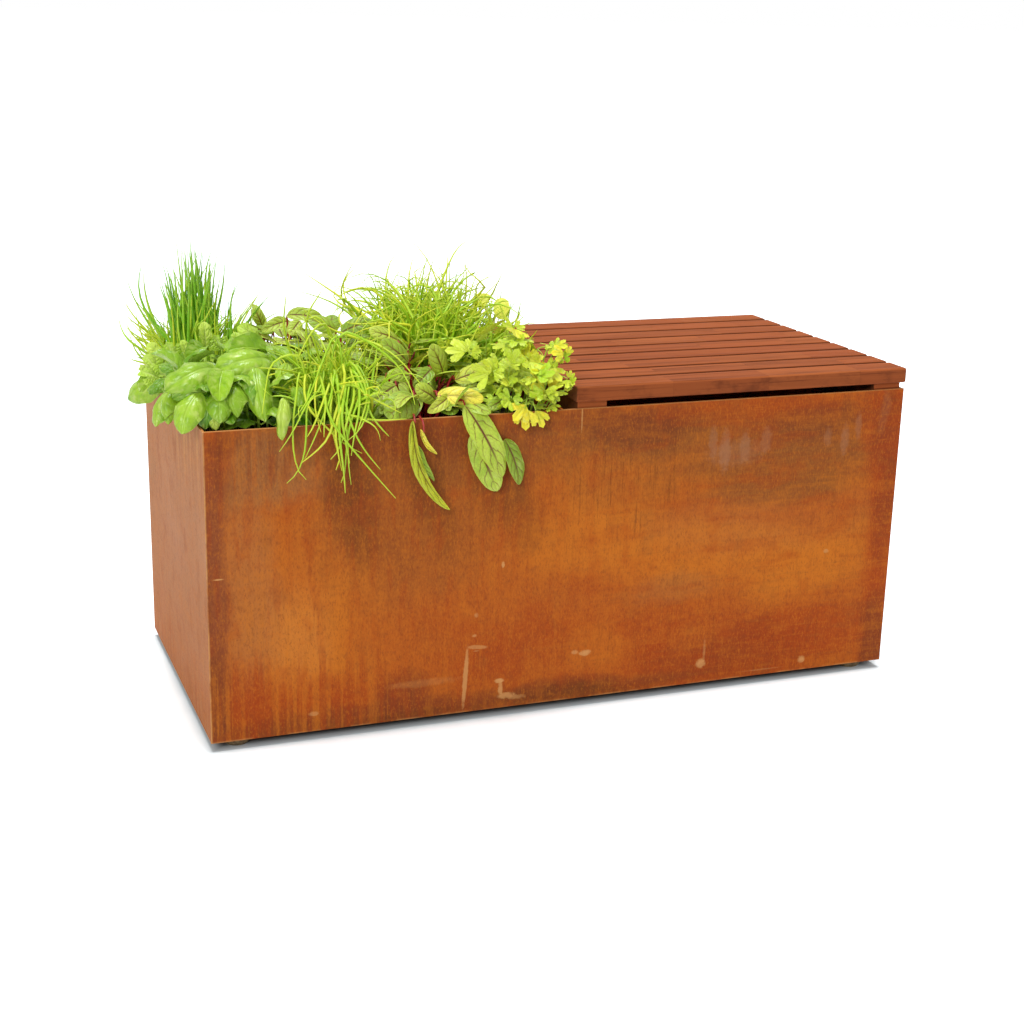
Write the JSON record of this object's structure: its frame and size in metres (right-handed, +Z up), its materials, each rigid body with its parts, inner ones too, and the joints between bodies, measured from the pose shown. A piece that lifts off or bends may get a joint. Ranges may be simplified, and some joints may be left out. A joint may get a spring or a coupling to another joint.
{
  "type": "bench with planter",
  "caption": "Long rusted-steel tub on levelling feet, planted with herbs at one end and closed by a lift-off seat of hardwood slats at the other.",
  "frame": {"origin": "on the ground under the middle of the tub", "axes": "+X along the bench from the planted end to the seat, +Y from front to rear, +Z up"},
  "size_m": [1.008, 0.47, 0.605],
  "materials": {
    "weathering_steel": "rust patina of weathering steel, matt, streaked orange to dark brown",
    "mild_steel": "rusted mild steel",
    "zinc_steel": "zinc-plated steel thread",
    "stainless_steel": "stainless steel screw heads",
    "pad_plastic": "dark plastic stained brown by rust",
    "hardwood": "oiled red-brown tropical hardwood, fine straight grain",
    "compost": "damp crumbly potting compost",
    "expanded_clay": "expanded clay pebbles",
    "fleece": "thin non-woven fleece",
    "basil_leaf": "glossy cupped leaves",
    "chive_blade": "thin smooth blades",
    "sorrel_leaf": "leaves with dark red veins and red stems",
    "parsley_leaf": "small lobed leaves",
    "rocket_leaf": "pale lobed leaves",
    "mint_leaf": "oval toothed leaves"
  },
  "bodies": {
    "tub": {"front_panel": "weathering_steel", "rear_panel": "weathering_steel", "left_end_panel": "weathering_steel", "right_end_panel": "weathering_steel", "floor_panel": "weathering_steel", "divider_panel": "weathering_steel", "seat_rail_left": "weathering_steel", "seat_rail_right": "weathering_steel", "floor_bearer_1": "weathering_steel", "floor_bearer_2": "weathering_steel", "floor_bearer_3": "weathering_steel", "foot_bush_front_left": "mild_steel", "foot_bush_front_right": "mild_steel", "foot_bush_rear_left": "mild_steel", "foot_bush_rear_right": "mild_steel", "drainage_gravel": "expanded_clay", "filter_fleece": "fleece", "soil": "compost", "plant_basil_front_left": "basil_leaf", "plant_chives_front": "chive_blade", "plant_sorrel_front": "sorrel_leaf", "plant_parsley_front_right": "parsley_leaf", "plant_rocket_left": "rocket_leaf", "plant_chives_rear_left": "chive_blade", "plant_sorrel_rear": "sorrel_leaf", "plant_chives_rear_centre": "chive_blade", "plant_mint_rear_right": "mint_leaf"},
    "seat": {"slat_1": "hardwood", "slat_2": "hardwood", "slat_3": "hardwood", "slat_4": "hardwood", "slat_5": "hardwood", "slat_6": "hardwood", "slat_7": "hardwood", "slat_8": "hardwood", "slat_9": "hardwood", "batten_left": "hardwood", "batten_right": "hardwood", "slat_screws": "stainless_steel"},
    "pad_front_left": {"foot_pad_front_left": "pad_plastic"},
    "stud_front_left": {"foot_stud_front_left": "zinc_steel"},
    "pad_front_right": {"foot_pad_front_right": "pad_plastic"},
    "stud_front_right": {"foot_stud_front_right": "zinc_steel"},
    "pad_rear_left": {"foot_pad_rear_left": "pad_plastic"},
    "stud_rear_left": {"foot_stud_rear_left": "zinc_steel"},
    "pad_rear_right": {"foot_pad_rear_right": "pad_plastic"},
    "stud_rear_right": {"foot_stud_rear_right": "zinc_steel"}
  },
  "joints": [
    {"name": "seat_lift", "type": "slide", "parent": "tub", "child": "seat", "axis": [0, 0, 1], "range_m": [0, 0.2]},
    {"name": "foot_height_front_left", "type": "slide", "parent": "tub", "child": "pad_front_left", "axis": [0, 0, -1], "range_m": [-0.008, 0.01]},
    {"name": "stud_turn_front_left", "type": "hinge", "parent": "pad_front_left", "child": "stud_front_left", "pos_m": [-0.462, -0.198, 0.03], "axis": [0, 0, -1], "range_deg": [-1921, 2401]},
    {"name": "foot_height_front_right", "type": "slide", "parent": "tub", "child": "pad_front_right", "axis": [0, 0, -1], "range_m": [-0.008, 0.01]},
    {"name": "stud_turn_front_right", "type": "hinge", "parent": "pad_front_right", "child": "stud_front_right", "pos_m": [0.462, -0.198, 0.03], "axis": [0, 0, -1], "range_deg": [-1921, 2401]},
    {"name": "foot_height_rear_left", "type": "slide", "parent": "tub", "child": "pad_rear_left", "axis": [0, 0, -1], "range_m": [-0.008, 0.01]},
    {"name": "stud_turn_rear_left", "type": "hinge", "parent": "pad_rear_left", "child": "stud_rear_left", "pos_m": [-0.462, 0.198, 0.03], "axis": [0, 0, -1], "range_deg": [-1921, 2401]},
    {"name": "foot_height_rear_right", "type": "slide", "parent": "tub", "child": "pad_rear_right", "axis": [0, 0, -1], "range_m": [-0.008, 0.01]},
    {"name": "stud_turn_rear_right", "type": "hinge", "parent": "pad_rear_right", "child": "stud_rear_right", "pos_m": [0.462, 0.198, 0.03], "axis": [0, 0, -1], "range_deg": [-1921, 2401]}
  ],
  "couplings": [
    {"joint": "stud_turn_front_left", "follows": "foot_height_front_left", "rad_per_m": 4188.8},
    {"joint": "stud_turn_front_right", "follows": "foot_height_front_right", "rad_per_m": 4188.8},
    {"joint": "stud_turn_rear_left", "follows": "foot_height_rear_left", "rad_per_m": 4188.8},
    {"joint": "stud_turn_rear_right", "follows": "foot_height_rear_right", "rad_per_m": 4188.8}
  ]
}
